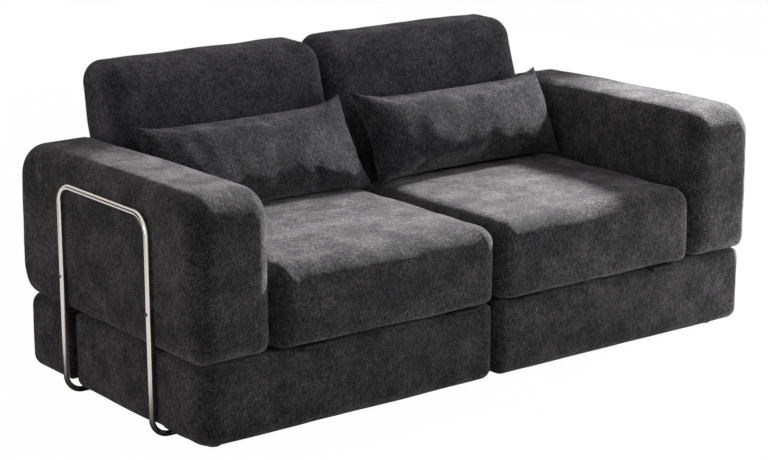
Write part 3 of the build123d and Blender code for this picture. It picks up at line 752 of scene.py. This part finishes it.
stageLook = {
    "reach": 60.0, "white": 0.93, "glow": 1.06,
    "ambient": 0.285, "ambientColour": (0.99, 0.955, 1.0, 1),
}
lampLook = {
    "keyWindow": {
        "place": (3.3, 0.45, 2.25), "aim": (0.0, -0.15, 0.45), "size": (0.22, 0.45),
        "power": 735.0, "colour": (1.0, 1.0, 1.0),
    },
    "leftFill": {
        "place": (-9.0, -2.5, 2.3), "aim": (0.0, 0.0, 0.4), "size": (4.0, 3.0),
        "power": 105.0, "colour": (1.0, 0.95, 0.94),
    },
    "frontRightFill": {
        "place": (2.7, -2.5, 1.3), "aim": (0.6, 0.0, 0.3), "size": (1.2, 1.2),
        "power": 42.0, "colour": (1.0, 1.0, 1.0),
    },
}
# the cards' ends along X and Y, with their height or upper end
flagLook = {"height": 1.5, "x": (0.6, 3.0), "y": (0.285, 1.8)}
sideCardLook = {"x": -2.6, "y": (0.2, 4.0), "top": 2.4}
# the floor card is painted shade: a black sheet under the left end that only reflections meet, in
# place of the shadow on the floor there
floorShadeCardLook = {"height": 0.001, "x": (-1.25, -0.8), "y": (-0.6, 0.6)}
cardBlack = (0.01, 0.01, 0.01, 1)
cameraLook = {
    "place": (-3.597, -4.7024, 1.8903),
    "aim": (0.585, 0.767, -0.263),
    "lens": 101.51,
    "shiftX": -0.0048,
    "shiftY": 0.0254,
    "sensor": 36.0,
}


def seenRays(nodes, links):
    # 1 for the rays of the camera, of reflections and of glass, and 0 for all others
    path = nodes.new("ShaderNodeLightPath")
    seen = path.outputs["Is Camera Ray"]
    for kind in ("Is Glossy Ray", "Is Transmission Ray"):
        most = nodes.new("ShaderNodeMath")
        most.operation = "MAXIMUM"
        links.new(seen, most.inputs[0])
        links.new(path.outputs[kind], most.inputs[1])
        seen = most.outputs[0]
    return seen


def whiteBackdrop(material):
    # the camera and reflections see white, while the floor keeps a share of its shadow
    tree = material.node_tree
    nodes, links = tree.nodes, tree.links
    shader = nodes["Principled BSDF"]
    shader.inputs["Base Color"].default_value = (0.4, 0.4, 0.4, 1)
    shader.inputs["Roughness"].default_value = 0.9
    shader.inputs["Specular IOR Level"].default_value = 0.0
    glow = nodes.new("ShaderNodeEmission")
    glow.inputs["Strength"].default_value = stageLook["glow"]
    mix = nodes.new("ShaderNodeMixShader")
    share = nodes.new("ShaderNodeMath")
    share.operation = "MULTIPLY"
    share.inputs[1].default_value = stageLook["white"]
    links.new(seenRays(nodes, links), share.inputs[0])
    links.new(share.outputs[0], mix.inputs[0])
    links.new(shader.outputs[0], mix.inputs[1])
    links.new(glow.outputs[0], mix.inputs[2])
    links.new(mix.outputs[0], nodes["Material Output"].inputs["Surface"])


def levelSheet(xs, ys, height):
    # the corners of a level rectangle in turn
    ends = [(xs[0], ys[0]), (xs[1], ys[0]), (xs[1], ys[1]), (xs[0], ys[1])]
    return [(x, y, height) for x, y in ends]


def makeSheet(name, corners, paintName):
    # one face with four corners and a material of its own
    mesh = bpy.data.meshes.new(name)
    mesh.from_pydata(corners, [], [(0, 1, 2, 3)])
    paint = bpy.data.materials.new(paintName)
    paint.use_nodes = True
    mesh.materials.append(paint)
    sheet = bpy.data.objects.new(name, mesh)
    scene.collection.objects.link(sheet)
    return sheet, paint


def addFloor():
    ends = (-stageLook["reach"], stageLook["reach"])
    floor, paint = makeSheet("floor", levelSheet(ends, ends, 0.0), "floorWhite")
    whiteBackdrop(paint)


def addWorld():
    # a dim light from all round, which the camera and reflections see as white
    world = bpy.data.worlds.new("studio")
    scene.world = world
    world.use_nodes = True
    nodes, links = world.node_tree.nodes, world.node_tree.links
    back = nodes["Background"]
    back.inputs["Color"].default_value = stageLook["ambientColour"]
    back.inputs["Strength"].default_value = stageLook["ambient"]
    seen = nodes.new("ShaderNodeBackground")
    seen.inputs["Color"].default_value = (1, 1, 1, 1)
    seen.inputs["Strength"].default_value = 1.0
    mix = nodes.new("ShaderNodeMixShader")
    links.new(seenRays(nodes, links), mix.inputs[0])
    links.new(back.outputs[0], mix.inputs[1])
    links.new(seen.outputs[0], mix.inputs[2])
    links.new(mix.outputs[0], nodes["World Output"].inputs["Surface"])


def addLamp(name, look):
    # a rectangle of light that faces its aim
    data = bpy.data.lights.new(name, "AREA")
    data.shape = "RECTANGLE"
    data.size, data.size_y = look["size"]
    data.energy = look["power"]
    data.color = look["colour"]
    lamp = bpy.data.objects.new(name, data)
    scene.collection.objects.link(lamp)
    lamp.location = look["place"]
    facing = Vector(look["aim"]) - Vector(look["place"])
    lamp.rotation_euler = facing.to_track_quat("-Z", "Y").to_euler()


def addCard(name, corners, meets):
    # a black card that only one kind of ray meets
    card, paint = makeSheet(name, corners, name + "Black")
    paint.node_tree.nodes["Principled BSDF"].inputs["Base Color"].default_value = cardBlack
    for kind in ("camera", "diffuse", "glossy", "transmission", "shadow"):
        setattr(card, "visible_" + kind, kind == meets)


def addCards():
    # one under the rear of the key light, which keeps it on the seats and off the backs,
    # and two for the steel tube to mirror: beside it, and on the floor under it, where the black
    # sheet is painted shade standing in for the floor's shadow under the sofa
    look = flagLook
    addCard("flag", levelSheet(look["x"], look["y"], look["height"]), "shadow")
    look = sideCardLook
    (front, rear), top = look["y"], look["top"]
    side = [(front, 0.0), (rear, 0.0), (rear, top), (front, top)]
    addCard("sideCard", [(look["x"], y, z) for y, z in side], "glossy")
    look = floorShadeCardLook
    # painted shade: the floor's shadow under the sofa, for the tube to mirror
    addCard("floorShadeCard", levelSheet(look["x"], look["y"], look["height"]), "glossy")


def addCamera():
    data = bpy.data.cameras.new("camera")
    data.sensor_fit = "HORIZONTAL"
    data.sensor_width = cameraLook["sensor"]
    data.lens = cameraLook["lens"]
    data.shift_x, data.shift_y = cameraLook["shiftX"], cameraLook["shiftY"]
    camera = bpy.data.objects.new("camera", data)
    scene.collection.objects.link(camera)
    camera.location = cameraLook["place"]
    camera.rotation_euler = Vector(cameraLook["aim"]).to_track_quat("-Z", "Y").to_euler()
    scene.camera = camera


addFloor()
addWorld()
addCards()
for lampName, look in lampLook.items():
    addLamp(lampName, look)
addCamera()
scene.view_settings.view_transform = "Standard"
print("stage, lights and camera set")
